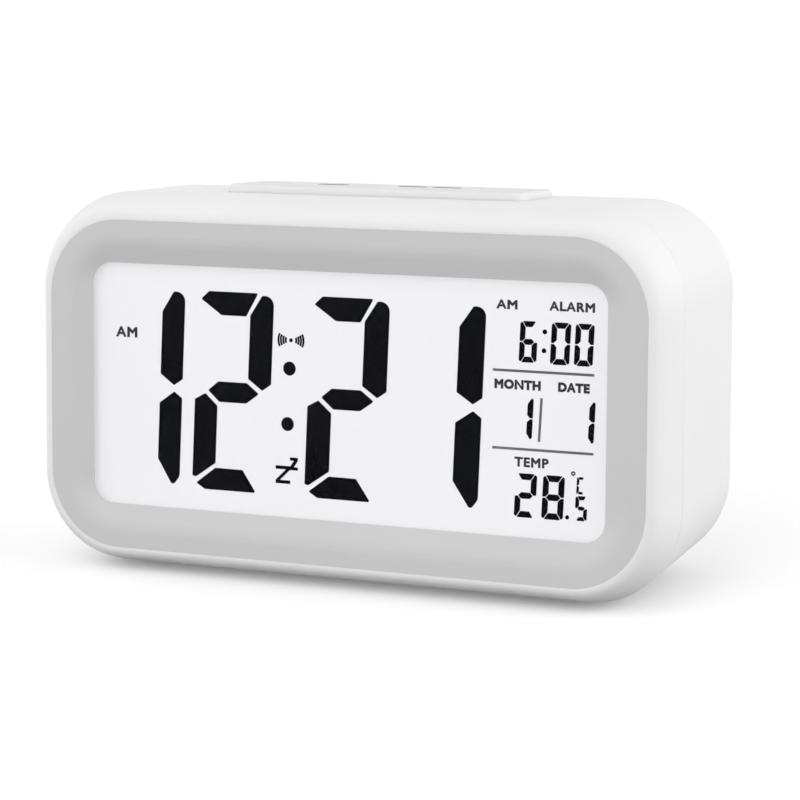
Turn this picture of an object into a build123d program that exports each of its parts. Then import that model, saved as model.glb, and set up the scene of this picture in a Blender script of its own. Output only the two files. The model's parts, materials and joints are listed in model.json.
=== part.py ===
from build123d import *
from math import acos, cos, radians, sin, tan
import os

# Digital alarm clock with a character display, in millimetres.
# The face leans back, the axis of the body is level and the origin is under the middle of the clock.

# Body
body_width = 135.0
body_height = 73.5
body_depth = 43.0
face_tilt = 4.5
body_corner = 18.0
upright_draft = 3.8
side_draft = 1.9
rear_rounding = 9.5
cavity_bevel = 5.0
wall = 2.0
rear_wall = 2.2
seam_depth = 7.6
seam_bevel = 0.3
fit_gap = 0.15
run_gap = 0.3

# Front rounding between the bezel and the seam
rim_width = 0.45
flare_side = 4.15
flare_top = 5.25
flare_bottom = 3.6
flare_sweep = 70.0
flare_steps = 4

# Bezel and window
bezel_corner = 15.0
bezel_thickness = 3.0
bezel_gap = 0.03
band_width = 4.2
funnel_side = 4.35
funnel_upright = 4.25
funnel_depth = 1.7
funnel_rounding = 6.0
window_corner = 4.2
lens_margin = 1.2
lens_thickness = 1.05
ledge_thickness = 1.4

# Display stack
glass_margin = 1.45
glass_front = 1.1
glass_rear = 1.2
contact_ledge = 2.8
guide_thickness = 4.6
guide_end_space = 3.0
led_length = 5.0
led_width = 2.4
tray_wall = 1.6
tray_back = 1.2
tray_step = 0.6
zebra_width = 1.8
zebra_inset = 4.0

# Boards
board_thickness = 1.2
board_standoff = 1.4
board_inset = 4.0
board_corner = 2.0
post_radius = 2.2
post_inset = 12.0
chip_radius = 6.0
chip_height = 1.6
chip_bevel = 1.1
chip_offset = 15.0
crystal_radius = 1.0
crystal_length = 6.0
sensor_radius = 1.4
sensor_height = 3.0
sensor_bevel = 0.8
sensor_inset = 8.0

# Screws
thread_clear = 0.05
head_clear = 0.5
large_shank = 1.15
large_head = 2.6
large_head_height = 1.8
large_length = 9.0
small_shank = 0.8
small_head = 2.0
small_head_height = 1.2
small_length = 5.0
short_length = 3.4
boss_wall = 1.6
housing_boss_inset = 6.0
housing_boss_spread = 15.0
housing_boss_length = 9.3
frame_boss_spread = 5.0
frame_boss_length = 5.0
frame_boss_margin = 2.9
ear_thickness = 2.0

# Snooze bar
bar_length = 63.5
bar_front = 14.4
bar_rear_gap = 3.1
bar_proud = 1.7
bar_corner = 2.0
bar_edge = 0.7
bar_lip = 1.5
bar_lip_thickness = 0.9
bar_stem_width = 5.0
bar_stem_depth = 2.4
bar_travel = 0.8
snooze_switch_width = 7.0
snooze_switch_height = 6.0
snooze_switch_depth = 3.8
snooze_plunger = 1.4
plunger_length = 1.0

# Batteries
cell_length = 44.5
cell_radius = 5.2
cell_nub_radius = 1.9
cell_nub_length = 1.0
cell_pitch = 10.9
cell_gap = 0.3
contact_space = 3.8
contact_sheet = 0.4
contact_width = 5.0
contact_reach = 3.2
contact_tip = 1.0
bay_wall = 1.5

# Battery door
door_thickness = 1.6
door_margin = 1.4
door_gap = 0.35
door_corner = 1.6
ear_width = 6.0
ear_spread = 15.0
ear_drop = 1.9
latch_width = 9.0
latch_length = 6.0
latch_slit = 0.8
finger_depth = 1.0
finger_reach = 2.2

# Rear buttons and alarm slider
button_pitch = 19.0
button_radius = 3.2
button_proud = 0.9
button_edge = 0.6
button_lip = 1.0
button_lip_thickness = 0.6
button_travel = 0.6
button_row_drop = 15.7
button_row_gap = 8.0
button_screw_offset = 28.5
switch_size = 6.0
switch_height = 3.2
switch_plunger = 1.7
plunger_height = 0.5
button_board_height = 11.6
button_board_margin = 6.0
slider_offset = 39.9
slider_length = 4.4
slider_height = 3.6
slider_proud = 0.8
slider_travel = 4.0
slider_lip_length = 12.0
slider_lip_height = 6.4
slider_rib = 0.4
alarm_switch_length = 9.0
alarm_switch_height = 4.0
lever_size = 1.6

# Buzzer
buzzer_radius = 7.5
buzzer_thickness = 0.7
buzzer_rib = 1.3
buzzer_rib_height = 1.9
sound_slot_width = 1.3
sound_slot_corner = 0.6
sound_slot_pitch = 3.0
sound_slot_count = 5
sound_slot_length = 13.0
sound_slot_step = 2.0

# Ribbon between the boards
ribbon_width = 8.0
ribbon_thickness = 0.9
ribbon_drop = 4.5
ribbon_bend = 3.0

# Feet
foot_radius = 4.0
foot_proud = 0.8
foot_sunk = 0.6
foot_edge = 0.3
foot_offset = 42.0
foot_front = 13.0
foot_rear = 31.0

# Heights along the face, from the middle of the bezel
bezel_width = body_width - 2 * flare_side
bezel_height = body_height - flare_top - flare_bottom
top_edge = bezel_height / 2 + flare_top
bottom_edge = -bezel_height / 2 - flare_bottom
window_width = bezel_width - 2 * (band_width + funnel_side)
window_height = bezel_height - 2 * (band_width + funnel_upright)

# Depths behind the face
lens_start = bezel_thickness - lens_thickness
ledge_back = bezel_thickness + ledge_thickness
glass_start = bezel_thickness + fit_gap
glass_step = glass_start + glass_front
glass_back = glass_step + glass_rear
tray_start = ledge_back + fit_gap
guide_start = glass_back + fit_gap
guide_back = guide_start + guide_thickness
tray_floor = guide_back + fit_gap
tray_end = tray_floor + tray_back
board_front = tray_end + board_standoff
board_back = board_front + board_thickness
rear_inside = body_depth - rear_wall
door_inside = body_depth - door_thickness
cell_depth = door_inside - cell_gap - cell_radius
bay_floor = cell_depth - cell_radius - cell_gap
lip_back = rear_inside - run_gap
button_lip_front = lip_back - button_lip_thickness
plunger_end = button_lip_front - button_travel - fit_gap
button_board_back = plunger_end - plunger_height - switch_height
button_board_front = button_board_back - board_thickness
housing_boss_end = ledge_back + housing_boss_length

# Battery bay and button row
bay_width = cell_length + 2 * contact_space
bay_height = 2 * cell_pitch + 2 * cell_radius + 4 * cell_gap
button_row = top_edge - button_row_drop
bay_high = button_row - button_row_gap
bay_middle = bay_high - bay_height / 2
door_width = bay_width + 2 * door_margin
door_height = bay_height + 2 * door_margin
button_places = [(button_pitch * step, button_row) for step in (2, 1, 0, -1)]
slider_middle = -slider_offset

# Screw places
housing_boss_x = body_width / 2 - housing_boss_inset
housing_boss_places = [(x, v) for x in (-housing_boss_x, housing_boss_x)
                       for v in (-housing_boss_spread, housing_boss_spread)]
well_radius = large_head + head_clear
glass_width = window_width + 2 * glass_margin
glass_low = -window_height / 2 - glass_margin - contact_ledge
glass_high = window_height / 2 + glass_margin
tray_width = glass_width + 2 * (fit_gap + tray_wall)
tray_low = glass_low - fit_gap - tray_wall
tray_high = glass_high + fit_gap + tray_wall
frame_boss_radius = small_shank + boss_wall
frame_boss_x = tray_width / 2 + frame_boss_margin
frame_boss_places = [(x, v) for x in (-frame_boss_x, frame_boss_x)
                     for v in (-frame_boss_spread, frame_boss_spread)]
board_width = glass_width - board_inset
board_low = glass_low
board_high = glass_high
board_post_places = [(x, v) for x in (post_inset - board_width / 2, board_width / 2 - post_inset)
                     for v in (board_low + post_inset, board_high - post_inset / 2)]
button_board_screws = [(x, button_row) for x in (-button_screw_offset, button_screw_offset)]

# Buzzer between the battery bay and the screw wells
bay_side = bay_width / 2 + bay_wall
well_side = housing_boss_x - well_radius - wall
buzzer_middle = -(bay_side + well_side) / 2
buzzer_seat = rear_inside - buzzer_rib_height
buzzer_places = [(buzzer_middle, bay_middle)]

# Placing: the axis of the body is level, the box around the clock is centred over the origin
lean_sin = sin(radians(face_tilt))
lean_cos = cos(radians(face_tilt))
front_reach = (bezel_height / 2 + rim_width) * lean_sin
rear_reach = (body_depth + button_proud) * lean_cos + (button_row + button_radius - button_edge) * lean_sin
face_y = (front_reach - rear_reach) / 2
face_z = foot_proud - bottom_edge * lean_cos + seam_depth * lean_sin
foot_places = [(x, face_y + y) for x in (-foot_offset, foot_offset) for y in (foot_front, foot_rear)]
face = Plane(origin=(0, face_y, face_z), x_dir=(1, 0, 0), z_dir=(0, -lean_cos, lean_sin))
seam_top = face.from_local_coords((0, top_edge, -seam_depth))
seam_low = face.from_local_coords((0, bottom_edge, -seam_depth))
rearward = Axis((0, 0, 0), (0, lean_cos, -lean_sin))
upright = Axis((0, 0, 0), (0, lean_sin, lean_cos))


def at_depth(depth):
    """Plane parallel to the face at a depth behind it, looking out of the front."""
    return face.offset(-depth)


def at_height(height):
    """Plane square to the face, at a height along it, with x and depth as its axes."""
    place = face.from_local_coords((0, height, 0))
    return Plane(origin=place, x_dir=(1, 0, 0), z_dir=(0, lean_sin, lean_cos))


def at_side(x):
    """Upright plane across the clock, with depth and height along the face as its axes."""
    place = face.from_local_coords((x, 0, 0))
    return Plane(origin=place, x_dir=(0, lean_cos, -lean_sin), z_dir=(1, 0, 0))


def plate(front, back, width, height, radius, middle=(0, 0), mode=Mode.ADD):
    """Rounded plate parallel to the face, between two depths."""
    with BuildSketch(at_depth(back)) as outline:
        with Locations(middle):
            RectangleRounded(width, height, radius)
    extrude(outline.sketch, amount=back - front, mode=mode)


def block(front, back, width, height, middle=(0, 0), mode=Mode.ADD):
    """Square-cornered block parallel to the face, between two depths."""
    with BuildSketch(at_depth(back)) as outline:
        with Locations(middle):
            Rectangle(width, height)
    extrude(outline.sketch, amount=back - front, mode=mode)


def post(front, back, radius, places, mode=Mode.ADD):
    """Round posts or holes square to the face, between two depths."""
    with BuildSketch(at_depth(back)) as outline:
        with Locations(*places):
            Circle(radius)
    extrude(outline.sketch, amount=back - front, mode=mode)


def flare_share(depth):
    """Share of the front rounding reached at a depth, from an arc that ends short of square."""
    drop = (1 - cos(radians(flare_sweep))) * depth / seam_depth
    return sin(acos(1 - drop)) / sin(radians(flare_sweep))


def front_outline(depth, inset=0):
    """Width, height, middle and corner of the front housing at a depth."""
    share = flare_share(depth)
    half = bezel_width / 2 + rim_width + (flare_side - rim_width) * share - inset
    top = bezel_height / 2 + rim_width + (flare_top - rim_width) * share - inset
    low = bezel_height / 2 + rim_width + (flare_bottom - rim_width) * share - inset
    corner = bezel_corner + rim_width + (body_corner - bezel_corner - rim_width) * share - inset
    return 2 * half, top + low, (0, (top - low) / 2), corner


def base_height(y):
    """Height of the body's underside over the table, which grows to the rear."""
    return seam_low.Z + (y - seam_low.Y) * tan(radians(upright_draft))


def drafted_block(back, inset=0):
    """Block behind the seam round a level axis, drafted at the top, the base and the sides."""
    sections = []
    rise = tan(radians(upright_draft))
    middle = (seam_top.Y + seam_low.Y) / 2
    level = (seam_top.Z + seam_low.Z) / 2 + rise * (seam_top.Y - seam_low.Y) / 2
    for y in (seam_low.Y - wall, seam_top.Y + body_depth):
        height = seam_top.Z - seam_low.Z - 2 * rise * (y - middle)
        shrink = tan(radians(side_draft)) * (y - middle) + inset
        with BuildSketch(Plane(origin=(0, y, level), x_dir=(1, 0, 0), z_dir=(0, 1, 0))) as section:
            RectangleRounded(body_width - 2 * shrink, height - 2 * inset, body_corner - shrink)
        sections.append(section.sketch.face())
    loft(sections, ruled=True)
    split(bisect_by=at_depth(seam_depth), keep=Keep.BOTTOM)
    split(bisect_by=at_depth(back), keep=Keep.TOP)


# Front housing: flared ring with the bezel seat, the ledge behind it and the screw bosses
with BuildPart() as front_housing:
    for step in range(flare_steps + 1):
        turn = flare_sweep * step / flare_steps
        depth = seam_depth * (1 - cos(radians(turn))) / (1 - cos(radians(flare_sweep)))
        width, height, middle, corner = front_outline(depth)
        with BuildSketch(at_depth(depth)):
            with Locations(middle):
                RectangleRounded(width, height, corner)
    loft()
    plate(0, bezel_thickness, bezel_width + 2 * bezel_gap, bezel_height + 2 * bezel_gap,
          bezel_corner + bezel_gap, mode=Mode.SUBTRACT)
    block(bezel_thickness, ledge_back, glass_width + 2 * fit_gap, glass_high - glass_low + 2 * fit_gap,
          (0, (glass_high + glass_low) / 2), mode=Mode.SUBTRACT)
    width, height, middle, corner = front_outline(ledge_back, wall)
    plate(ledge_back, seam_depth, width, height, corner, middle, mode=Mode.SUBTRACT)
    post(ledge_back, housing_boss_end, large_shank + boss_wall, housing_boss_places)
    post(ledge_back, ledge_back + frame_boss_length, frame_boss_radius, frame_boss_places)
    post(housing_boss_end - large_length + wall, housing_boss_end, large_shank + thread_clear,
         housing_boss_places, mode=Mode.SUBTRACT)
    post(ledge_back + thread_clear, ledge_back + frame_boss_length, small_shank + thread_clear,
         frame_boss_places, mode=Mode.SUBTRACT)

# Bezel: flat band, a funnel that slopes in to the window, and a rebate behind it for the window plate
with BuildPart() as front_bezel:
    plate(0, bezel_thickness, bezel_width, bezel_height, bezel_corner)
    plate(funnel_depth, bezel_thickness, window_width, window_height, window_corner, mode=Mode.SUBTRACT)
    with BuildSketch(at_depth(0)) as mouth:
        RectangleRounded(bezel_width - 2 * band_width, bezel_height - 2 * band_width,
                         bezel_corner - band_width)
    with BuildSketch(at_depth(funnel_depth)) as throat:
        RectangleRounded(window_width, window_height, window_corner)
    loft([mouth.sketch.face(), throat.sketch.face()], ruled=True, mode=Mode.SUBTRACT)
    band = front_bezel.faces().sort_by(rearward)[0]
    fillet(band.inner_wires()[0].edges(), radius=funnel_rounding)
    plate(lens_start, bezel_thickness, window_width + 2 * (lens_margin + fit_gap),
          window_height + 2 * (lens_margin + fit_gap), window_corner + fit_gap, mode=Mode.SUBTRACT)

# Window plate in the rebate, level with the back of the bezel
with BuildPart() as display_lens:
    plate(lens_start, bezel_thickness, window_width + 2 * lens_margin, window_height + 2 * lens_margin,
          window_corner)

# Display glass in the ledge opening: the front sheet is longer at the bottom, where its contacts are
with BuildPart() as lcd_panel:
    block(glass_start, glass_step, glass_width, glass_high - glass_low, (0, (glass_high + glass_low) / 2))
    block(glass_step, glass_back, glass_width, glass_high - glass_low - contact_ledge,
          (0, (glass_high + glass_low + contact_ledge) / 2))

# Tray that carries the glass, the light guide and the main board
zebra_middle = glass_low + contact_ledge / 2
zebra_length = glass_width - 2 * zebra_inset
with BuildPart() as lcd_frame:
    plate(tray_start, tray_end, tray_width, tray_high - tray_low, tray_wall, (0, (tray_high + tray_low) / 2))
    block(tray_start, tray_floor, glass_width + 2 * fit_gap, glass_high - glass_low + 2 * fit_gap,
          (0, (glass_high + glass_low) / 2), mode=Mode.SUBTRACT)
    block(tray_floor, tray_end, zebra_length + 2 * fit_gap, zebra_width + 2 * fit_gap,
          (0, zebra_middle), mode=Mode.SUBTRACT)
    post(tray_end - ear_thickness, tray_end, frame_boss_radius + tray_step, frame_boss_places)
    for v in (-frame_boss_spread, frame_boss_spread):
        block(tray_end - ear_thickness, tray_end, 2 * frame_boss_x,
              2 * (frame_boss_radius + tray_step), (0, v))
    block(tray_end - ear_thickness, tray_floor, glass_width + 2 * fit_gap,
          tray_high - tray_low - 2 * tray_wall, (0, (tray_high + tray_low) / 2), mode=Mode.SUBTRACT)
    post(tray_end - ear_thickness, tray_end, small_shank + run_gap, frame_boss_places, mode=Mode.SUBTRACT)
    post(tray_end, board_front, post_radius, board_post_places)
    post(tray_floor + thread_clear, board_front, small_shank + thread_clear, board_post_places,
         mode=Mode.SUBTRACT)

# Light guide behind the glass, with a lamp at each end
guide_low = glass_low + contact_ledge + run_gap
guide_width = glass_width - 2 * guide_end_space
with BuildPart() as light_guide:
    block(guide_start, guide_back, guide_width, glass_high - guide_low, (0, (glass_high + guide_low) / 2))

led_x = (guide_width + led_width) / 2 + fit_gap
with BuildPart() as backlight_leds:
    for x in (-led_x, led_x):
        block(guide_start, guide_back, led_width, led_length, (x, 0))

# Rubber strip that joins the glass to the main board
with BuildPart() as zebra_connector:
    block(glass_step, board_front, zebra_length, zebra_width, (0, zebra_middle))

# Main board with the potted chip, the crystal, the temperature sensor and the snooze switch
with BuildPart() as main_pcb:
    plate(board_front, board_back, board_width, board_high - board_low, board_corner,
          (0, (board_high + board_low) / 2))
    post(board_front, board_back, small_shank + run_gap, board_post_places, mode=Mode.SUBTRACT)

with BuildPart() as controller_chip:
    post(board_back, board_back + chip_height, chip_radius, [(-chip_offset, 0)])
    chamfer(controller_chip.faces().sort_by(rearward)[-1].edges(), length=chip_bevel)

crystal_depth = board_back + crystal_radius
with BuildPart() as quartz_crystal:
    with BuildSketch(at_side(chip_offset)) as can:
        with Locations((crystal_depth, 0)):
            Circle(crystal_radius)
    extrude(can.sketch, amount=crystal_length)

with BuildPart() as temperature_sensor:
    post(board_back, board_back + sensor_height, sensor_radius,
         [(board_width / 2 - sensor_inset, board_low + sensor_inset)])
    chamfer(temperature_sensor.faces().sort_by(rearward)[-1].edges(), length=sensor_bevel)

# Snooze bar: raised pad with well rounded edges, held under the top wall by a lip
bar_depth = body_depth - rear_rounding - bar_rear_gap - bar_front
bar_middle = bar_front + bar_depth / 2
bar_base = top_edge - wall - run_gap
switch_top = board_high
stem_depth = board_back + snooze_switch_depth / 2
stem_end = switch_top + plunger_length + bar_travel + fit_gap
with BuildPart() as snooze_bar:
    with BuildSketch(at_height(bar_base)) as pad:
        with Locations((0, bar_middle)):
            RectangleRounded(bar_length, bar_depth, bar_corner)
    extrude(pad.sketch, amount=top_edge + bar_proud - bar_base)
    fillet(snooze_bar.faces().sort_by(upright)[-1].edges(), radius=bar_edge)
    with BuildSketch(at_height(bar_base)) as lip:
        with Locations((0, bar_middle)):
            RectangleRounded(bar_length + 2 * bar_lip, bar_depth + 2 * bar_lip, bar_corner + bar_lip)
    extrude(lip.sketch, amount=-bar_lip_thickness)
    with BuildSketch(at_height(bar_base)) as stem:
        with Locations((0, stem_depth)):
            Rectangle(bar_stem_width, bar_stem_depth)
    extrude(stem.sketch, amount=stem_end - bar_base)

with BuildPart() as snooze_switch:
    block(board_back, board_back + snooze_switch_depth, snooze_switch_width, snooze_switch_height,
          (0, switch_top - snooze_switch_height / 2))
    with BuildSketch(at_height(switch_top)) as plunger:
        with Locations((0, stem_depth)):
            Circle(snooze_plunger)
    extrude(plunger.sketch, amount=plunger_length)

# Space inside the rear housing
with BuildPart() as rear_cavity:
    drafted_block(rear_inside, wall)
    chamfer(rear_cavity.faces().sort_by(rearward)[-1].edges(), length=cavity_bevel)

# Rear housing: drafted shell, battery bay, screw wells, bosses and openings
well_floor = housing_boss_end + wall
axis_depth = body_depth - door_thickness / 2
axis_height = bay_middle - door_height / 2 - ear_drop
with BuildPart() as rear_housing:
    drafted_block(body_depth)
    fillet(rear_housing.faces().sort_by(rearward)[-1].edges(), radius=rear_rounding)
    chamfer(rear_housing.faces().sort_by(rearward)[0].edges(), length=seam_bevel)
    shell = rear_housing.part
    add(rear_cavity.part, mode=Mode.SUBTRACT)
    post(housing_boss_end, rear_inside, well_radius + wall, housing_boss_places)
    block(bay_floor - bay_wall, rear_inside, bay_width + 2 * bay_wall, bay_height + 2 * bay_wall,
          (0, bay_middle))
    post(button_board_back, rear_inside, small_shank + boss_wall, button_board_screws)
    post(buzzer_seat, rear_inside, buzzer_radius + buzzer_rib / 2, buzzer_places)
    post(buzzer_seat, rear_inside, buzzer_radius - buzzer_rib, buzzer_places, mode=Mode.SUBTRACT)
    add(shell, mode=Mode.INTERSECT)
    block(bay_floor, body_depth, bay_width, bay_height, (0, bay_middle), mode=Mode.SUBTRACT)
    plate(door_inside, body_depth, door_width + 2 * door_gap, door_height + 2 * door_gap,
          door_corner + door_gap, (0, bay_middle), mode=Mode.SUBTRACT)
    post(well_floor, body_depth, well_radius, housing_boss_places, mode=Mode.SUBTRACT)
    post(housing_boss_end, well_floor, large_shank + run_gap, housing_boss_places, mode=Mode.SUBTRACT)
    post(button_board_back, rear_inside - run_gap, small_shank + thread_clear, button_board_screws,
         mode=Mode.SUBTRACT)
    post(rear_inside, body_depth, button_radius + run_gap, button_places, mode=Mode.SUBTRACT)
    block(rear_inside, body_depth, slider_length + slider_travel + 2 * run_gap, slider_height + 2 * run_gap,
          (slider_middle, button_row), mode=Mode.SUBTRACT)
    for step in range(sound_slot_count):
        offset = step - (sound_slot_count - 1) / 2
        plate(rear_inside, body_depth, sound_slot_width, sound_slot_length - sound_slot_step * abs(offset),
              sound_slot_corner, (buzzer_middle + sound_slot_pitch * offset, bay_middle), mode=Mode.SUBTRACT)
    for x in (-ear_spread, ear_spread):
        block(door_inside - run_gap, body_depth, ear_width + 2 * run_gap,
              2 * (ear_drop + door_thickness / 2 + run_gap), (x, axis_height + ear_drop), mode=Mode.SUBTRACT)
    with BuildSketch(at_side(0)) as finger:
        with Locations((body_depth, bay_middle + door_height / 2)):
            Ellipse(finger_depth, finger_reach)
    extrude(finger.sketch, amount=latch_width / 2, both=True, mode=Mode.SUBTRACT)
    with BuildSketch(at_height(top_edge - wall)) as slot:
        with Locations((0, bar_middle)):
            RectangleRounded(bar_length + 2 * run_gap, bar_depth + 2 * run_gap, bar_corner + run_gap)
    extrude(slot.sketch, amount=2 * wall, mode=Mode.SUBTRACT)
    for x, y in foot_places:
        with BuildSketch(Plane.XY) as recess:
            with Locations((x, y)):
                Circle(foot_radius + fit_gap)
        extrude(recess.sketch, amount=base_height(y) + foot_sunk, mode=Mode.SUBTRACT)

# Rubber feet in their recesses, longer at the rear
with BuildPart() as rubber_feet:
    for x, y in foot_places:
        with BuildSketch(Plane.XY) as foot:
            with Locations((x, y)):
                Circle(foot_radius)
        extrude(foot.sketch, amount=base_height(y) + foot_sunk)
    chamfer(rubber_feet.faces().filter_by(Plane.XY).group_by(Axis.Z)[0].edges(), length=foot_edge)

# Battery door with two ears at the bottom and a spring latch at the top
with BuildPart() as battery_door:
    plate(door_inside, body_depth, door_width, door_height, door_corner, (0, bay_middle))
    for x in (-ear_spread, ear_spread):
        block(door_inside, body_depth, ear_width, 2 * ear_drop, (x, axis_height + ear_drop))
        with BuildSketch(at_side(x)) as knuckle:
            with Locations((axis_depth, axis_height)):
                Circle(door_thickness / 2)
        extrude(knuckle.sketch, amount=ear_width / 2, both=True)
    for x in (-latch_width / 2, latch_width / 2):
        block(door_inside, body_depth, latch_slit, latch_length,
              (x, bay_middle + door_height / 2 - latch_length / 2), mode=Mode.SUBTRACT)

# Dry cells side by side, the middle one turned round
cell_heights = [bay_middle + cell_pitch * step for step in (-1, 0, 1)]
cells = []
for index, height in enumerate(cell_heights):
    nub_side = 1 if index == 1 else -1
    with BuildPart() as cell:
        with BuildSketch(at_side(nub_side * cell_nub_length / -2)) as can:
            with Locations((cell_depth, height)):
                Circle(cell_radius)
        extrude(can.sketch, amount=(cell_length - cell_nub_length) / 2, both=True)
        with BuildSketch(at_side(0)) as nub:
            with Locations((cell_depth, height)):
                Circle(cell_nub_radius)
        extrude(nub.sketch, amount=nub_side * cell_length / 2)
    cells.append(cell)


def contact_sheets(side, groups):
    """Contact plates on one end wall of the bay, each with a sprung leaf for every cell it joins."""
    wall_x = side * (bay_width / 2 - fit_gap)
    sheet_x = wall_x - side * contact_sheet
    tip_x = side * (cell_length / 2 + fit_gap)
    for group in groups:
        low = cell_heights[group[0]] - contact_reach
        high = cell_heights[group[-1]] + contact_reach
        block(cell_depth - contact_width / 2, cell_depth + contact_width / 2, contact_sheet, high - low,
              ((wall_x + sheet_x) / 2, (low + high) / 2))
        for index in group:
            with BuildSketch(at_depth(cell_depth + contact_width / 2)) as leaf:
                with BuildLine():
                    Polyline(
                        (sheet_x, cell_heights[index] - contact_reach),
                        (tip_x, cell_heights[index] - contact_tip),
                        (tip_x, cell_heights[index] + contact_tip),
                        (sheet_x, cell_heights[index] + contact_reach),
                        (sheet_x, cell_heights[index] + contact_reach - 2 * contact_sheet),
                        (tip_x + side * contact_sheet, cell_heights[index] + contact_tip - contact_sheet),
                        (tip_x + side * contact_sheet, cell_heights[index] - contact_tip + contact_sheet),
                        (sheet_x, cell_heights[index] - contact_reach + 2 * contact_sheet),
                        close=True,
                    )
                make_face()
            extrude(leaf.sketch, amount=contact_width)


with BuildPart() as contacts_left:
    contact_sheets(-1, [[0], [1, 2]])

with BuildPart() as contacts_right:
    contact_sheets(1, [[0, 1], [2]])

# Button board on the bosses of the rear wall, with its switches
slider_end = slider_middle - slider_lip_length / 2 - button_board_margin / 2
board_right = button_places[0][0] + button_board_margin
with BuildPart() as button_pcb:
    plate(button_board_front, button_board_back, board_right - slider_end, button_board_height, board_corner,
          ((board_right + slider_end) / 2, button_row))
    post(button_board_front, button_board_back, small_shank + run_gap, button_board_screws,
         mode=Mode.SUBTRACT)

with BuildPart() as tact_switches:
    for place in button_places:
        block(button_board_back, button_board_back + switch_height, switch_size, switch_size, place)
        post(button_board_back + switch_height, plunger_end, switch_plunger, [place])


def rear_button(place):
    """Round push button with a lip behind the rear wall."""
    with BuildPart() as button:
        post(button_lip_front, lip_back, button_radius + button_lip, [place])
        post(lip_back, body_depth + button_proud, button_radius, [place])
        chamfer(button.faces().sort_by(rearward)[-1].edges(), length=button_edge)
    return button


button_names = ["mode_button", "set_button", "up_button", "down_button"]
buttons = [rear_button(place) for place in button_places]

# Alarm on-off switch on the board and the slider that works it through the wall
slider_rest = slider_middle + slider_travel / 2
with BuildPart() as alarm_switch:
    block(button_board_back, button_board_back + switch_height, alarm_switch_length, alarm_switch_height,
          (slider_middle, button_row))

with BuildPart() as alarm_switch_lever:
    block(button_board_back + switch_height + fit_gap, button_lip_front, lever_size, lever_size,
          (slider_rest, button_row))

with BuildPart() as alarm_slider:
    plate(button_lip_front, lip_back, slider_lip_length, slider_lip_height, board_corner / 2,
          (slider_rest, button_row))
    plate(lip_back, body_depth + slider_proud, slider_length, slider_height, slider_rib,
          (slider_rest, button_row))
    for x in (-slider_length / 4, slider_length / 4):
        block(body_depth + slider_proud - slider_rib, body_depth + slider_proud, slider_rib, slider_height,
              (slider_rest + x, button_row), mode=Mode.SUBTRACT)

# Buzzer disc on its ring
with BuildPart() as buzzer:
    post(buzzer_seat - buzzer_thickness, buzzer_seat, buzzer_radius, buzzer_places)

# Ribbon from the main board to the button board
ribbon_x = button_pitch / 2
ribbon_high = button_row + ribbon_drop / 2
ribbon_low = button_row - ribbon_drop / 2
ribbon_middle = (board_back + button_board_front) / 2
with BuildPart() as ribbon_cable:
    with BuildLine(at_side(ribbon_x)) as route:
        FilletPolyline(
            (board_back, ribbon_high),
            (ribbon_middle - ribbon_bend, ribbon_high),
            (ribbon_middle + ribbon_bend, ribbon_low),
            (button_board_front, ribbon_low),
            radius=ribbon_bend,
        )
    with BuildSketch(at_depth(board_back)) as strip:
        with Locations((ribbon_x, ribbon_high)):
            Rectangle(ribbon_width, ribbon_thickness)
    sweep(strip.sketch, path=route.wire())

# Screws: a head on the seat and a plain shank into the pilot hole
with BuildPart() as housing_screws:
    post(well_floor, well_floor + large_head_height, large_head, housing_boss_places)
    post(well_floor - large_length, well_floor, large_shank, housing_boss_places)

with BuildPart() as frame_screws:
    post(tray_end, tray_end + small_head_height, small_head, frame_boss_places)
    post(tray_end - small_length, tray_end, small_shank, frame_boss_places)

with BuildPart() as board_screws:
    post(board_back, board_back + small_head_height, small_head, board_post_places)
    post(board_back - short_length, board_back, small_shank, board_post_places)
    post(button_board_front - small_head_height, button_board_front, small_head, button_board_screws)
    post(button_board_front, button_board_front + small_length, small_shank, button_board_screws)

pieces = {
    "front_housing": front_housing,
    "rear_housing": rear_housing,
    "front_bezel": front_bezel,
    "display_lens": display_lens,
    "lcd_panel": lcd_panel,
    "lcd_frame": lcd_frame,
    "light_guide": light_guide,
    "backlight_leds": backlight_leds,
    "zebra_connector": zebra_connector,
    "main_pcb": main_pcb,
    "controller_chip": controller_chip,
    "quartz_crystal": quartz_crystal,
    "temperature_sensor": temperature_sensor,
    "snooze_bar": snooze_bar,
    "snooze_switch": snooze_switch,
    "rubber_feet": rubber_feet,
    "battery_door": battery_door,
    "contacts_left": contacts_left,
    "contacts_right": contacts_right,
    "button_pcb": button_pcb,
    "tact_switches": tact_switches,
    "alarm_switch": alarm_switch,
    "alarm_switch_lever": alarm_switch_lever,
    "alarm_slider": alarm_slider,
    "buzzer": buzzer,
    "ribbon_cable": ribbon_cable,
    "housing_screws": housing_screws,
    "frame_screws": frame_screws,
    "board_screws": board_screws,
}
for index, cell in enumerate(cells):
    pieces[f"aaa_cell_{index + 1}"] = cell
for name, button in zip(button_names, buttons):
    pieces[name] = button

os.makedirs("parts", exist_ok=True)
for name, piece in pieces.items():
    piece.part.label = name
    export_step(piece.part, f"parts/{name}.step")
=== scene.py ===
import json
from math import cos, pi, radians, sin, tan

import bmesh
import bpy
from mathutils import Matrix, Vector


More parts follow.
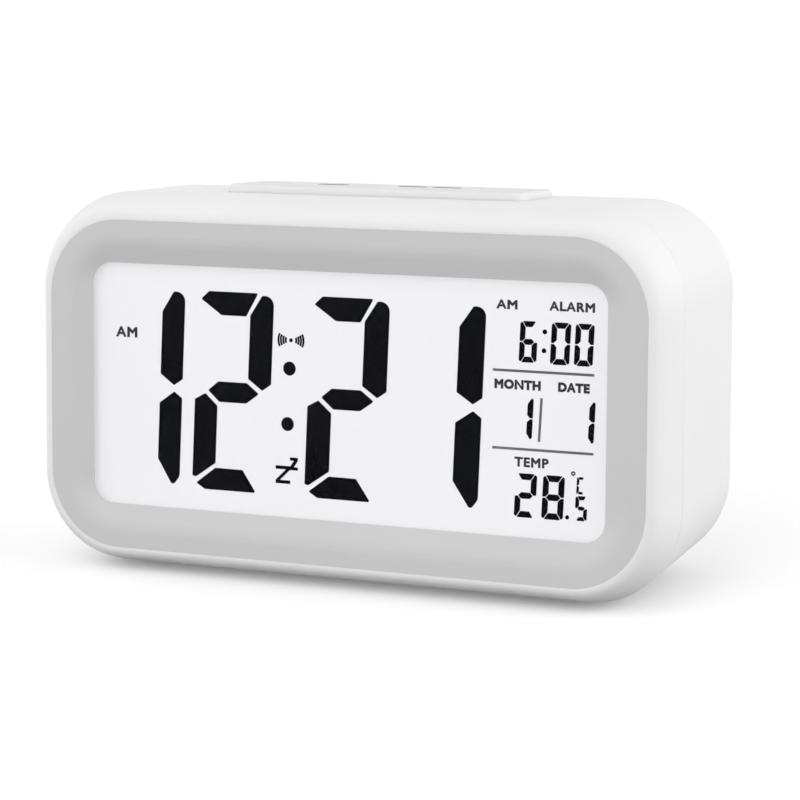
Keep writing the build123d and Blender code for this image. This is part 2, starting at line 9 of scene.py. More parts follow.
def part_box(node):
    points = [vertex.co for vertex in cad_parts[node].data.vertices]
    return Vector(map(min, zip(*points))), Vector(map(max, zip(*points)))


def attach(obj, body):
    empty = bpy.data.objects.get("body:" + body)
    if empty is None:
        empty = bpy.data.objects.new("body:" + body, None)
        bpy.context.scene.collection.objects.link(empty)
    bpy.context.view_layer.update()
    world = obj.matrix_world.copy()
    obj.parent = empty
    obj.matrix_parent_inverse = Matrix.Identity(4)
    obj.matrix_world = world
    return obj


# A small digital alarm clock: finishes for its solids, and the markings on its display and snooze bar.
# Metres, +Z up, with the display facing -Y. The markings are written in millimetres.
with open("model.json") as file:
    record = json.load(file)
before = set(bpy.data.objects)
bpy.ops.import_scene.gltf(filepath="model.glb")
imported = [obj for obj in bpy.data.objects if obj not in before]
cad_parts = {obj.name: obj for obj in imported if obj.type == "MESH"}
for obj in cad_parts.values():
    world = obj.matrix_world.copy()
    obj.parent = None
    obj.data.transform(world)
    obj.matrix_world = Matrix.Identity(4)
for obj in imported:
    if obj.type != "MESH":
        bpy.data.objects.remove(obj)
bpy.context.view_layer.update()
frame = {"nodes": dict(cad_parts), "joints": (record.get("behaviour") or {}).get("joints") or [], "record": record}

MM = 0.001

# Camera
view_target = Vector((0.00275, 0.00047, 0.03303))
view_azimuth = radians(26.476)
view_elevation = radians(10.926)
view_roll = radians(-1.679)
view_distance = 0.59237
view_lens = 136.125

# Light of the room: its level at the horizon, and how that changes with the direction
sky_level = 1.36
sky_slope = Vector((0.0, 0.0, -1.34))

# Lamps: name, azimuth, elevation and width in degrees, and strength, where 1 lights a white face fully
lamps = (
    ("key", -46, 26, 120, 0.43),
    ("fill", 60, 25, 80, 0.05),
    ("side", 105, 6, 75, 0.57),
    ("top", 0, 60, 40, 0.05),
    ("back", 180, 76, 40, 0.045),
)

# Floor: half its width in metres, its colour to the eye and as a bounce, and a little light of its own
floor_half = 3.0
floor_tone = 1.0
floor_bounce = 0.40
floor_glow = 0.16

# Directions of the leaning face, from the joints that move square to it
joints = {joint["name"]: joint for joint in frame["joints"]}
face_out = Vector(joints["mode_press"]["axis"]).normalized()
face_up = -Vector(joints["snooze_press"]["axis"]).normalized()
face_right = face_up.cross(face_out)

# Display glass: its colour, its glow from behind, partly a backlight and partly painted light that evens out the
# shade of its recess, and the dimmer ends beyond some metres from its middle
glass_colour = (0.45, 0.45, 0.46)
glass_light = (0.98, 0.98, 1.0, 1.0)
glass_glow = 0.475
glass_ends = (0.035, 0.056)
glass_end_level = 0.985

# Battery cans: half the length of the wrap and the width of its edge, in metres, and the two colours
wrap_half = 0.0205
wrap_edge = 0.0002
wrap_colour = (0.045, 0.05, 0.058, 1.0)
can_colour = (0.62, 0.61, 0.59, 1.0)

# Moulded surfaces: size of the blotches in tone and in gloss, swing of the gloss, and wear on rubbed edges
tone_blotch = 0.018
gloss_blotch = 0.006
gloss_swing = 0.12
worn_tone = 0.02
worn_gloss = 0.10

# Thickness of the print on the display glass and of the print on the bar, and their lift off what is below
ink_thickness = 0.05
ink_lift = 0.02
print_thickness = 0.03
print_lift = 0.01

# Largest share of an edge that a rounded corner takes, for corners with a radius of their own and for others
own_share = 0.8
plain_share = 0.49

# Shift of all the display's markings, to the right and up
display_shift = (-0.145, -0.04)

# Big time digits: their right edges, from which each is measured before its lean, and their upright strokes
time_rights = {"1 first": -35.03, "2 first": -15.39, "2 second": 9.44, "1 last": 29.39}
time_uprights = {"1 first": 5.02, "2 first": 5.07, "2 second": 5.18, "1 last": 5.35}
time_width = 16.74
time_top = 19.07
time_low = -19.79
time_middle = -0.46
time_bar = 4.38
time_waist = 3.99
time_gap = 0.9
time_lean = 0.04
time_round = 2.0
time_shoulder = 0.45
ink_round = 0.22
colon_places = ((-11.30, 4.88), (-11.70, -5.87))
colon_radius = 1.36

# Small digits: figure, left, right, low, high, stroke. Their gaps and bevels are shares of the stroke.
small_lean = 0.045
small_gap = 0.16
small_bevel = 0.32
small_round = 0.14
alarm_figures = (
    ("6", 36.90, 40.46, 8.70, 16.38, 1.08),
    ("0", 43.20, 47.05, 8.58, 16.40, 1.10),
    ("0", 47.96, 51.68, 8.58, 16.40, 1.10),
)
alarm_colon = ((41.95, 14.54), (41.82, 11.04))
date_figures = (
    ("1", 36.00, 39.72, -5.70, 2.24, 1.15),
    ("1", 48.35, 52.08, -5.75, 2.26, 1.15),
)
temperature_figures = (
    ("2", 36.26, 40.58, -20.27, -12.01, 1.18),
    ("8", 41.82, 46.16, -20.27, -12.01, 1.20),
    ("5", 48.42, 50.82, -20.07, -15.45, 0.74),
    ("C", 48.68, 50.30, -15.12, -11.92, 0.48),
)
small_dot = 0.46
temperature_point = (46.85, -19.58)
point_radius = 0.4
degree_place = (47.97, -11.35)
degree_radius = 0.3
degree_stroke = 0.26
degree_turn = 1.98 * pi
date_bar = ((41.02, -5.90), (41.45, 2.23))
date_bar_width = 0.48
rule_ends = (31.55, 51.89)
rule_heights = (7.04, -7.51)
rule_width = 0.48

# Words of the display: text, left, right, low, high, and how far their strokes are widened all round
display_words = (
    ("AM", -50.12, -45.24, 9.18, 11.26, 0.13),
    ("AM", 32.10, 36.40, 18.42, 20.16, 0.12),
    ("ALARM", 42.80, 51.86, 18.50, 20.27, 0.11),
    ("MONTH", 31.90, 41.25, 3.56, 5.40, 0.14),
    ("DATE", 44.74, 51.04, 3.61, 5.40, 0.14),
    ("TEMP", 36.12, 43.02, -10.80, -8.97, 0.10),
)
word_spacing = 1.12

# Sound and sleep signs of the display
wave_place = (-10.98, 10.36)
wave_radii = (1.15, 1.68, 2.2, 2.72)
wave_spread = radians(27)
wave_stroke = 0.40
wave_dot = 0.38
sleep_large = (-14.28, -11.10, -17.50, -14.04, 0.66)
sleep_small = (-11.15, -9.45, -14.79, -12.31, 0.60)

# Marks on the top of the snooze bar: their two ends, to the right and back from the face
bar_marks = (((-15.4, 22.6), (-9.0, 22.6)), ((1.8, 23.4), (7.6, 23.4)), ((9.2, 23.4), (14.9, 23.4)))
bar_mark_width = 1.8
bar_mark_round = 0.5

# Lit segments of each figure: a on top, b and c on the right, d below, e and f on the left, g across
SEGMENTS_OF = {
    "0": "abcdef",
    "1": "bc",
    "2": "abged",
    "5": "afgcd",
    "6": "afgedc",
    "8": "abcdefg",
    "C": "afed",
}


def new_material(name):
    """A node material, its tree and its main shader."""
    material = bpy.data.materials.new(name)
    material.use_nodes = True
    return material, material.node_tree, material.node_tree.nodes["Principled BSDF"]


def plug(tree, socket, value):
    """Links a socket to another node's output, or writes a plain value into it."""
    if isinstance(value, bpy.types.NodeSocket):
        tree.links.new(value, socket)
    else:
        socket.default_value = value


def node(tree, kind, settings=None, **inputs):
    """A shader node with its settings and its inputs."""
    made = tree.nodes.new("ShaderNode" + kind)
    for key, value in (settings or {}).items():
        setattr(made, key, value)
    for key, value in inputs.items():
        plug(tree, made.inputs[key.replace("_", " ")], value)
    return made


def place(tree):
    """A point of the surface in its own piece, in metres."""
    return tree.nodes.new("ShaderNodeTexCoord").outputs["Object"]


def noise(tree, size, detail=2.0, rough=0.5):
    """Even cloudy noise whose blotches are about that many metres across."""
    made = node(tree, "TexNoise", None, Vector=place(tree), Scale=1 / size, Detail=detail, Roughness=rough)
    return made.outputs["Fac"]


def spread(tree, value, low, high, start=0.3, end=0.7):
    """A value between start and end carried over to low and high."""
    made = node(tree, "MapRange", None, Value=value, From_Min=start, From_Max=end, To_Min=low, To_Max=high)
    return made.outputs["Result"]


def combine(tree, how, first, second):
    """Two values through one arithmetic step."""
    made = tree.nodes.new("ShaderNodeMath")
    made.operation = how
    plug(tree, made.inputs[0], first)
    plug(tree, made.inputs[1], second)
    return made.outputs[0]


def tinted(tree, colour, factor):
    """A colour made lighter or darker all over by a factor that varies."""
    made = node(tree, "VectorMath", {"operation": "SCALE"})
    made.inputs[0].default_value = colour
    plug(tree, made.inputs["Scale"], factor)
    return made.outputs["Vector"]


def edge_mask(tree, radius):
    """1 on the sharp edges of a piece and 0 on its faces."""
    soft = node(tree, "Bevel", {"samples": 4}, Radius=radius)
    sharp = tree.nodes.new("ShaderNodeNewGeometry")
    alike = node(tree, "VectorMath", {"operation": "DOT_PRODUCT"})
    tree.links.new(soft.outputs["Normal"], alike.inputs[0])
    tree.links.new(sharp.outputs["Normal"], alike.inputs[1])
    return spread(tree, alike.outputs["Value"], 1.0, 0.0, 0.8, 1.0)


def roughen(tree, shader, height, depth):
    """A fine relief of that depth in metres."""
    made = node(tree, "Bump", None, Strength=1.0, Distance=depth, Height=height)
    tree.links.new(made.outputs["Normal"], shader.inputs["Normal"])


def moulded(name, colour, rough, grain=0.00035, relief=0.000006, cloud=0.02, edge=0.0, metal=0.0, shine=0.5):
    """A moulded or drawn surface: uneven tone and gloss, a fine grain, and rubbed edges where asked for."""
    material, tree, shader = new_material(name)
    shader.inputs["Specular IOR Level"].default_value = shine
    tone = spread(tree, noise(tree, tone_blotch, 3.0), 1 - cloud, 1 + cloud)
    gloss_noise = noise(tree, gloss_blotch, 4.0)
    gloss = spread(tree, gloss_noise, rough * (1 - gloss_swing), rough * (1 + gloss_swing))
    if edge:
        worn = edge_mask(tree, edge)
        tone = combine(tree, "ADD", tone, combine(tree, "MULTIPLY", worn, worn_tone))
        gloss = combine(tree, "SUBTRACT", gloss, combine(tree, "MULTIPLY", worn, worn_gloss))
    tree.links.new(tinted(tree, colour, tone), shader.inputs["Base Color"])
    tree.links.new(gloss, shader.inputs["Roughness"])
    shader.inputs["Metallic"].default_value = metal
    roughen(tree, shader, noise(tree, grain, 3.0), relief)
    return material


def clear_plate(name):
    """A clear window plate with little glare, which lets the light through to what lies behind it."""
    material, tree, shader = new_material(name)
    shader.inputs["Base Color"].default_value = (1.0, 1.0, 1.0, 1.0)
    shader.inputs["Transmission Weight"].default_value = 1.0
    shader.inputs["IOR"].default_value = 1.1
    tree.links.new(spread(tree, noise(tree, 0.01, 3.0), 0.015, 0.035), shader.inputs["Roughness"])
    through = tree.nodes.new("ShaderNodeBsdfTransparent")
    path = tree.nodes.new("ShaderNodeLightPath")
    open_way = combine(tree, "MAXIMUM", path.outputs["Is Shadow Ray"], path.outputs["Is Diffuse Ray"])
    mixed = node(tree, "MixShader", None, Fac=open_way)
    tree.links.new(shader.outputs["BSDF"], mixed.inputs[1])
    tree.links.new(through.outputs["BSDF"], mixed.inputs[2])
    tree.links.new(mixed.outputs["Shader"], tree.nodes["Material Output"].inputs["Surface"])
    return material


def display_glass(name):
    """The pale polariser of the display, glowing a little from behind as a backlight and as painted light against
    the shade of its recess, and less towards its ends.
    """
    material, tree, shader = new_material(name)
    along = node(tree, "SeparateXYZ", None, Vector=place(tree)).outputs["X"]
    reach = combine(tree, "ABSOLUTE", along, 0.0)
    ends = spread(tree, reach, 1.0, glass_end_level, *glass_ends)
    tone = combine(tree, "MULTIPLY", ends, spread(tree, noise(tree, 0.02), 0.992, 1.008))
    tree.links.new(tinted(tree, glass_colour, tone), shader.inputs["Base Color"])
    tree.links.new(spread(tree, noise(tree, 0.0008, 3.0), 0.42, 0.52), shader.inputs["Roughness"])
    # The glow is partly a backlight and partly painted light that evens out the shade of the recess
    shader.inputs["Emission Color"].default_value = glass_light
    tree.links.new(combine(tree, "MULTIPLY", ends, glass_glow), shader.inputs["Emission Strength"])
    return material


def cell_wrap(name):
    """A battery can: a dark wrap along the can and bare steel at both ends."""
    material, tree, shader = new_material(name)
    along = node(tree, "SeparateXYZ", None, Vector=place(tree)).outputs["X"]
    low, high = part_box("aaa_cell_1")
    middle = (low.x + high.x) / 2
    reach = combine(tree, "ABSOLUTE", combine(tree, "SUBTRACT", along, middle), 0.0)
    bare = spread(tree, reach, 0.0, 1.0, wrap_half, wrap_half + wrap_edge)
    ramp = node(tree, "ValToRGB", None, Fac=bare)
    ramp.color_ramp.elements[0].color = wrap_colour
    ramp.color_ramp.elements[1].color = can_colour
    tree.links.new(ramp.outputs["Color"], shader.inputs["Base Color"])
    tree.links.new(bare, shader.inputs["Metallic"])
    tree.links.new(spread(tree, noise(tree, 0.004, 4.0), 0.24, 0.36), shader.inputs["Roughness"])
    roughen(tree, shader, noise(tree, 0.0015, 3.0), 0.000008)
    return material


def floor_paper(name):
    """Pale paper: white to the eye and in mirrors, with the object's shadow, and duller as a bounce."""
    material, tree, shader = new_material(name)
    tree.nodes.remove(shader)
    path = tree.nodes.new("ShaderNodeLightPath")
    seen = path.outputs["Is Camera Ray"]
    for output in ("Is Glossy Ray", "Is Transmission Ray"):
        seen = combine(tree, "MAXIMUM", seen, path.outputs[output])
    mottle = spread(tree, noise(tree, 0.05, 3.0), 0.995, 1.005)
    shown = tree.nodes.new("ShaderNodeBsdfDiffuse")
    tree.links.new(tinted(tree, (floor_tone,) * 3, mottle), shown.inputs["Color"])
    glow = node(tree, "Emission", None, Strength=floor_glow)
    bright = tree.nodes.new("ShaderNodeAddShader")
    tree.links.new(shown.outputs["BSDF"], bright.inputs[0])
    tree.links.new(glow.outputs["Emission"], bright.inputs[1])
    dull = node(tree, "BsdfDiffuse", None, Color=(floor_bounce,) * 3 + (1.0,))
    mixed = node(tree, "MixShader", None, Fac=seen)
    tree.links.new(dull.outputs["BSDF"], mixed.inputs[1])
    tree.links.new(bright.outputs["Shader"], mixed.inputs[2])
    tree.links.new(mixed.outputs["Shader"], tree.nodes["Material Output"].inputs["Surface"])
    return material


def make_materials():
    """One finish for each of the record's slots, a greyer copy of the white shell for the snooze bar as painted
    shade, and those of the prints.
    """
    return {
        "white_shell": moulded("white_shell", (0.86, 0.86, 0.86), 0.46, edge=0.0006, cloud=0.008, shine=0.3),
        # The snooze bar is the same white plastic as the shell: its greyer copy is painted shade for its shaded
        # front wall and top
        "bar_painted_shade": moulded("bar_painted_shade", (0.76, 0.76, 0.76), 0.46, edge=0.0006, cloud=0.008, shine=0.3),
        "grey_bezel": moulded("grey_bezel", (0.62, 0.62, 0.62), 0.42, edge=0.0004, cloud=0.012),
        "clear_lens": clear_plate("clear_lens"),
        "lcd_glass": display_glass("lcd_glass"),
        "white_tray": moulded("white_tray", (0.80, 0.80, 0.80), 0.5),
        "clear_guide": moulded("clear_guide", (0.82, 0.86, 0.88), 0.12, relief=0.000002),
        "led_resin": moulded("led_resin", (0.85, 0.72, 0.25), 0.25),
        "board_green": moulded("board_green", (0.02, 0.13, 0.05), 0.38, grain=0.0008, cloud=0.18),
        "black_epoxy": moulded("black_epoxy", (0.018, 0.018, 0.02), 0.55, cloud=0.15),
        "black_plastic": moulded("black_plastic", (0.03, 0.03, 0.032), 0.42, cloud=0.12),
        "steel": moulded("steel", (0.56, 0.55, 0.54), 0.32, cloud=0.08, metal=1.0),
        "contact_steel": moulded("contact_steel", (0.66, 0.65, 0.62), 0.24, cloud=0.06, metal=1.0),
        "cell_can": cell_wrap("cell_can"),
        "buzzer_brass": moulded("buzzer_brass", (0.70, 0.53, 0.24), 0.3, cloud=0.08, metal=1.0),
        "soft_rubber": moulded("soft_rubber", (0.16, 0.16, 0.165), 0.75, 0.0006, relief=0.00002, cloud=0.1),
        "ribbon_pvc": moulded("ribbon_pvc", (0.50, 0.50, 0.52), 0.5, cloud=0.06),
        "ink": moulded("ink", (0.0042, 0.0044, 0.0056), 0.42, relief=0.000002, cloud=0.25, shine=0.0),
        "ink_grey": moulded("ink_grey", (0.17, 0.17, 0.175), 0.45, relief=0.000002, cloud=0.15, shine=0.0),
        "ink_word": moulded("ink_word", (0.05, 0.05, 0.053), 0.45, relief=0.000002, cloud=0.15, shine=0.0),
        "print_grey": moulded("print_grey", (0.10, 0.10, 0.105), 0.5, relief=0.000002, cloud=0.1),
    }


def rounded(points, radius):
    """An outline with its corners turned into short arcs. A point may carry a radius of its own."""
    outline = []
    count = len(points)
    for index, point in enumerate(points):
        here = Vector(point[:2])
        before = Vector(points[index - 1][:2]) - here
        after = Vector(points[(index + 1) % count][:2]) - here
        wanted, share = (point[2], own_share) if len(point) > 2 else (radius, plain_share)
        half = before.angle(after) / 2
        reach = min(wanted / tan(half), share * before.length, share * after.length)
        turn = reach * tan(half)
        start = here + before.normalized() * reach
        end = here + after.normalized() * reach
        centre = here + (before.normalized() + after.normalized()).normalized() * turn / sin(half)
        steps = 2 if wanted == radius else 8
        sweep = (end - centre).angle_signed(start - centre)
        for step in range(steps + 1):
            spoke = Matrix.Rotation(sweep * step / steps, 2) @ (start - centre)
            outline.append(tuple(centre + spoke))
    return outline


def disc(middle, radius, steps=24):
    """The outline of a round dot."""
    return [(middle[0] + radius * cos(2 * pi * k / steps), middle[1] + radius * sin(2 * pi * k / steps))
            for k in range(steps)]


def arc_band(middle, radius, start, end, stroke, steps=12):
    """The outline of a curved stroke round a middle."""
    turns = [start + (end - start) * k / steps for k in range(steps + 1)]
    rings = ((radius + stroke / 2, turns), (radius - stroke / 2, turns[::-1]))
    return [(middle[0] + ring * cos(turn), middle[1] + ring * sin(turn))
            for ring, way in rings for turn in way]


def bar(start, end, width):
    """The outline of a straight stroke between two points."""
    first, last = Vector(start), Vector(end)
    aside = (last - first).normalized().orthogonal() * width / 2
    return [tuple(p) for p in (first + aside, first - aside, last - aside, last + aside)]


def plate(name, outlines, thickness, material, base, body):
    """One printed piece riding on a body: flat shapes of one thickness, with outlines in millimetres."""
    shape = bmesh.new()
    for outline in outlines:
        lower = [shape.verts.new((x * MM, y * MM, 0)) for x, y in outline]
        face = shape.faces.new(lower)
        face.normal_update()
        if face.normal.z > 0:
            face.normal_flip()
        upper = bmesh.ops.extrude_face_region(shape, geom=[face], use_keep_orig=True)["geom"]
        risen = [item for item in upper if isinstance(item, bmesh.types.BMVert)]
        bmesh.ops.translate(shape, verts=risen, vec=(0, 0, thickness * MM))
    bmesh.ops.recalc_face_normals(shape, faces=shape.faces)
    bmesh.ops.triangulate(shape, faces=[face for face in shape.faces if len(face.verts) > 4])
    return add_piece(name, shape, material, base, body)


def add_piece(name, shape, material, base, body):
    """A finished mesh as a piece of the object, placed by its base and riding on a body."""
    mesh = bpy.data.meshes.new(name)
    shape.to_mesh(mesh)
    shape.free()
    piece = bpy.data.objects.new(name, mesh)
    bpy.context.scene.collection.objects.link(piece)
    mesh.materials.append(material)
    mesh.transform(base)
    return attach(piece, body)


def letters(text, left, right, low, high, bold):
    """A word in the plain built-in letters, fitted into a box, as a flat mesh in millimetres."""
    curve = bpy.data.curves.new("word", "FONT")
    curve.body = text
    curve.resolution_u = 4
    curve.space_character = word_spacing
    holder = bpy.data.objects.new("word", curve)
    bpy.context.scene.collection.objects.link(holder)
    bpy.context.view_layer.update()
    mesh = bpy.data.meshes.new_from_object(holder.evaluated_get(bpy.context.evaluated_depsgraph_get()))
    bpy.data.objects.remove(holder)
    bpy.data.curves.remove(curve)
    shape = bmesh.new()
    shape.from_mesh(mesh)
    bpy.data.meshes.remove(mesh)
    bmesh.ops.remove_doubles(shape, verts=shape.verts, dist=0.0001)
    xs = [vertex.co.x for vertex in shape.verts]
    ys = [vertex.co.y for vertex in shape.verts]
    wide = (right - left - 2 * bold) / (max(xs) - min(xs))
    tall = (high - low - 2 * bold) / (max(ys) - min(ys))
    corner = Matrix.Translation((left + bold - min(xs) * wide, low + bold - min(ys) * tall, 0))
    bmesh.ops.transform(shape, matrix=corner @ Matrix.Diagonal((wide, tall, 1, 1)), verts=shape.verts)
    widen(shape, bold)
    return shape


def widen(shape, amount):
    """Moves the outline of a flat mesh outwards, square to its edges, and less at very sharp corners."""
    sharpest = 0.5
    ways = {}
    for edge in shape.edges:
        if edge.is_boundary:
            along = edge.verts[1].co - edge.verts[0].co
            away = Vector((along.y, -along.x, 0)).normalized()
            if away.dot(edge.link_faces[0].calc_center_median() - edge.verts[0].co) > 0:
                away = -away
            for vertex in edge.verts:
                ways.setdefault(vertex, []).append(away)
    for vertex, sides in ways.items():
        mean = sum(sides, Vector()) / len(sides)
        vertex.co += mean * amount / max(mean.length_squared, sharpest)


def words(name, texts, thickness, material, base, body):
    """Words as one printed piece."""
    shape = bmesh.new()
    for text in texts:
        word = letters(*text)
        mesh = bpy.data.meshes.new("word")
        word.to_mesh(mesh)
        word.free()
        shape.from_mesh(mesh)
        bpy.data.meshes.remove(mesh)
    bmesh.ops.scale(shape, verts=shape.verts, vec=(MM, MM, MM))
    faces = list(shape.faces)
    risen = bmesh.ops.extrude_face_region(shape, geom=faces, use_keep_orig=True)["geom"]
    top = [item for item in risen if isinstance(item, bmesh.types.BMVert)]
    bmesh.ops.translate(shape, verts=top, vec=(0, 0, thickness * MM))
    bmesh.ops.recalc_face_normals(shape, faces=shape.faces)
    return add_piece(name, shape, material, base, body)


def lean(outline, amount):
    """An outline leaning to the right with its height."""
    return [(x + amount * y, y) for x, y in outline]


def time_segments(upright):
    """Outlines of a big digit's segments from its right edge, with upright strokes of that width."""
    half = time_gap / 2
    inner = -upright
    far = -time_width
    near_far = far + upright
    waist = time_waist / 2
    shoulder = time_top - time_shoulder
    slant = -3.05
    top_inner = time_top - time_bar
    low_inner = time_low + time_bar
    upper = time_middle + waist
    lower = time_middle - waist
    # Corners in order round each segment, as small steps in millimetres from the digit's main lines
    return {
        "a": [(far + 0.7, time_top - 1.55), (far + 2.4, time_top), (slant - half, time_top),
              (inner - 2 * half, top_inner - 0.2), (near_far + 0.25, top_inner - 0.2)],
        "b": [(slant + half, shoulder), (0, shoulder, time_round), (0, upper),
              (-1.9, time_middle + 0.7), (inner, upper + 0.85), (inner, top_inner)],
        "g": [(far + 2.9, time_middle + 0.2), (far + 5.1, upper), (inner - 0.25, upper),
              (-2.6, time_middle), (inner - 0.25, lower), (near_far + 0.4, lower)],
        "e": [(far, time_middle - 1.7), (far + 2.3, time_middle - 0.45), (near_far, lower - 0.8),
              (near_far, low_inner + 0.9), (far + 0.85, time_low + 2.35), (far, time_low + 2.5)],
        "d": [(far + 0.9, time_low + 1.15), (near_far, low_inner - 0.05),
              (inner - 0.55, low_inner - 0.1), (-2.5, time_low), (far + 2.9, time_low)],
        "c": [(-1.8, time_middle - 0.55), (0, time_middle - 1.8), (0, time_low + 2.1, 1.6),
              (-1.5, time_low + 0.1, 0.6), (inner, low_inner + 1.0), (inner, lower - 0.9)],
    }


def time_outlines():
    """The four big digits and the two dots between the hours and the minutes."""
    outlines = []
    for label, right in time_rights.items():
        segments = time_segments(time_uprights[label])
        for letter in SEGMENTS_OF[label[0]]:
            shape = rounded(segments[letter], ink_round)
            outlines.append(lean([(x + right, y) for x, y in shape], time_lean))
    return outlines + [disc(middle, colon_radius) for middle in colon_places]


def small_outlines(figure, left, right, low, high, stroke):
    """A small seven-stroke figure in its box, leaning like the rest."""
    width = right - left
    height = high - low
    half = small_gap * stroke / 2
    bevel = small_bevel * stroke
    core = stroke / 2
    middle = height / 2
    inner = width - stroke
    side = [(width, height - half - bevel), (width, middle + half), (width - core, middle + half),
            (inner, middle + core + half), (inner, height - stroke - half), (width - bevel, height - half)]
    top = [(half + bevel, height), (width - half - bevel, height), (inner - half, height - stroke),
           (stroke + half, height - stroke)]
    waist = [(core + half, middle), (stroke + half, middle + core), (inner - half, middle + core),
             (width - core - half, middle), (inner - half, middle - core), (stroke + half, middle - core)]
    strokes = {
        "a": top,
        "b": side,
        "c": [(x, height - y) for x, y in side],
        "d": [(x, height - y) for x, y in top],
        "e": [(width - x, height - y) for x, y in side],
        "f": [(width - x, y) for x, y in side],
        "g": waist,
    }
    outlines = [rounded(strokes[letter], small_round) for letter in SEGMENTS_OF[figure]]
    return [[(left + x + small_lean * (y - middle), low + y) for x, y in outline] for outline in outlines]


def sleep_outline(left, right, low, high, stroke):
    """The outline of one Z of the sleep sign."""
    step = 1.4 * stroke
    return [(left, high), (right, high), (right, high - stroke), (left + step, low + stroke),
            (right, low + stroke), (right, low), (left, low), (left, low + stroke),
            (right - step, high - stroke), (left, high - stroke)]


def sign_outlines():
    """The sound sign and the sleep sign."""
    waves = [arc_band(wave_place, radius, side - wave_spread, side + wave_spread, wave_stroke)
             for radius in wave_radii for side in (0, pi)]
    return waves + [disc(wave_place, wave_dot), sleep_outline(*sleep_large), sleep_outline(*sleep_small)]


def furthest(node_name, direction):
    """How far a solid reaches along a direction."""
    return max(vertex.co.dot(direction) for vertex in frame["nodes"][node_name].data.vertices)


def face_base(middle, height):
    """Base of the prints on a plane square to the face: x to the right, y up the face, z out of it."""
    base = Matrix((face_right, face_up, face_out)).transposed().to_4x4()
    base.translation = face_up * middle.dot(face_up) + face_out * height
    return base


def dress_display(finish):
    """The liquid-crystal markings, a hair in front of the display glass."""
    lens_low, lens_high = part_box("display_lens")
    base = face_base((lens_low + lens_high) / 2, furthest("lcd_panel", face_out) + ink_lift * MM)
    base = base @ Matrix.Translation((display_shift[0] * MM, display_shift[1] * MM, 0))

    def layer(name, outlines, ink="ink"):
        """One printed piece of the display."""
        plate(name, outlines, ink_thickness, finish[ink], base, "case")

    def figures(rows):
        """The outlines of a row of small figures."""
        return [outline for row in rows for outline in small_outlines(*row)]

    layer("time_digits", time_outlines())
    dots = [disc(middle, small_dot, 16) for middle in alarm_colon]
    layer("alarm_digits", figures(alarm_figures) + dots)
    layer("date_digits", figures(date_figures))
    ring = arc_band(degree_place, degree_radius, 0, degree_turn, degree_stroke, 20)
    point = disc(temperature_point, point_radius, 16)
    layer("temperature_digits", figures(temperature_figures) + [point, ring])
    layer("display_signs", sign_outlines())
    rules = [bar((rule_ends[0], height), (rule_ends[1], height), rule_width) for height in rule_heights]
    layer("display_rules", rules + [bar(*date_bar, date_bar_width)], "ink_grey")
    words("display_words", display_words, ink_thickness, finish["ink_word"], base, "case")


def dress_bar(finish):
    """Plain marks on the top of the snooze bar, a hair above it."""
    base = Matrix((face_right, -face_out, face_up)).transposed().to_4x4()
    height = furthest("snooze_bar", face_up) + print_lift * MM
    base.translation = face_out * furthest("front_bezel", face_out) + face_up * height
    marks = [rounded(bar(start, end, bar_mark_width), bar_mark_round) for start, end in bar_marks]
    plate("bar_marks", marks, print_thickness, finish["print_grey"], base, "snooze")


def dress_solids(finish):
    """Each solid takes the finish of its slot, and the snooze bar a greyer copy of the white shell that is painted
    shade.
    """
    for part in frame["record"]["subparts"]:
        solid = frame["nodes"][part["node"]]
        # The bar's greyer white is painted shade, not a plastic of its own
        look = "bar_painted_shade" if part["node"] == "snooze_bar" else part["material_slot"]
        solid.data.materials.clear()
        solid.data.materials.append(finish[look])


def make_floor():
    """A wide floor under the object."""
    shape = bmesh.new()
    corners = [(-1, -1), (1, -1), (1, 1), (-1, 1)]
    shape.faces.new([shape.verts.new((x * floor_half, y * floor_half, 0)) for x, y in corners])
    mesh = bpy.data.meshes.new("floor")
    shape.to_mesh(mesh)
    shape.free()
    mesh.materials.append(floor_paper("floor_paper"))
    floor = bpy.data.objects.new("floor", mesh)
    bpy.context.scene.collection.objects.link(floor)


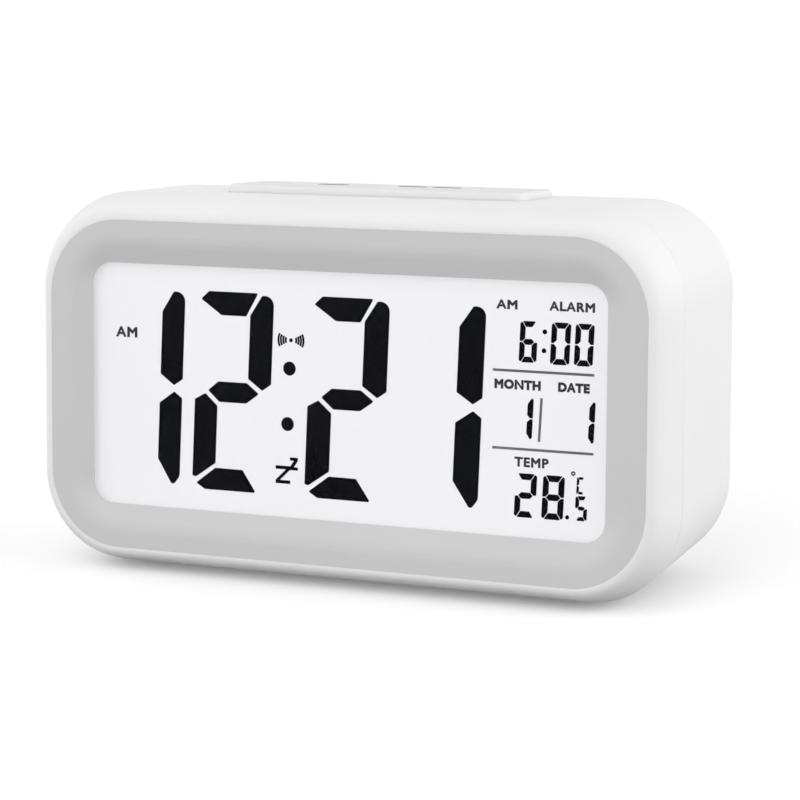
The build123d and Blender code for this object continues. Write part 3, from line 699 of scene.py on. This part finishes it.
def make_light():
    """A white room that lights more from low down than from above, and wide soft lamps."""
    world = bpy.data.worlds.new("room")
    world.use_nodes = True
    tree = world.node_tree
    ground = tree.nodes["Background"]
    direction = tree.nodes.new("ShaderNodeTexCoord").outputs["Generated"]
    slope = node(tree, "VectorMath", {"operation": "DOT_PRODUCT"})
    tree.links.new(direction, slope.inputs[0])
    slope.inputs[1].default_value = sky_slope
    level = combine(tree, "MAXIMUM", combine(tree, "ADD", slope.outputs["Value"], sky_level), 0.0)
    path = tree.nodes.new("ShaderNodeLightPath")
    seen = path.outputs["Is Camera Ray"]
    for output in ("Is Glossy Ray", "Is Transmission Ray"):
        seen = combine(tree, "MAXIMUM", seen, path.outputs[output])
    shown = node(tree, "MapRange", None, Value=seen, To_Min=level, To_Max=1.0).outputs["Result"]
    ground.inputs["Color"].default_value = (1.0, 1.0, 1.0, 1.0)
    tree.links.new(shown, ground.inputs["Strength"])
    bpy.context.scene.world = world
    for name, azimuth, elevation, width, share in lamps:
        lamp = bpy.data.lights.new(name, "SUN")
        lamp.energy = share * pi
        lamp.angle = radians(width)
        holder = bpy.data.objects.new(name, lamp)
        holder.rotation_euler = direction_from(azimuth, elevation).to_track_quat("Z", "Y").to_euler()
        bpy.context.scene.collection.objects.link(holder)


def direction_from(azimuth, elevation):
    """Direction towards a place round the object, in degrees: 0 is in front of it and 90 to its right."""
    turn, rise = radians(azimuth), radians(elevation)
    return Vector((sin(turn) * cos(rise), -cos(turn) * cos(rise), sin(rise)))


def make_camera():
    """A long lens at the chosen side, height and roll."""
    level = Vector((cos(view_azimuth), sin(view_azimuth), 0))
    flat = Vector((sin(view_azimuth), -cos(view_azimuth), 0))
    backward = flat * cos(view_elevation) + Vector((0, 0, sin(view_elevation)))
    upward = backward.cross(level)
    right = level * cos(view_roll) + upward * sin(view_roll)
    top = upward * cos(view_roll) - level * sin(view_roll)
    turn = Matrix((right, top, backward)).transposed().to_4x4()
    camera = bpy.data.cameras.new("camera")
    camera.lens = view_lens
    camera.clip_start = 0.01
    holder = bpy.data.objects.new("camera", camera)
    holder.matrix_world = Matrix.Translation(view_target + backward * view_distance) @ turn
    bpy.context.scene.collection.objects.link(holder)
    bpy.context.scene.camera = holder


finishes = make_materials()
dress_solids(finishes)
dress_display(finishes)
dress_bar(finishes)
make_floor()
make_light()
make_camera()
bpy.context.scene.view_settings.view_transform = "Standard"
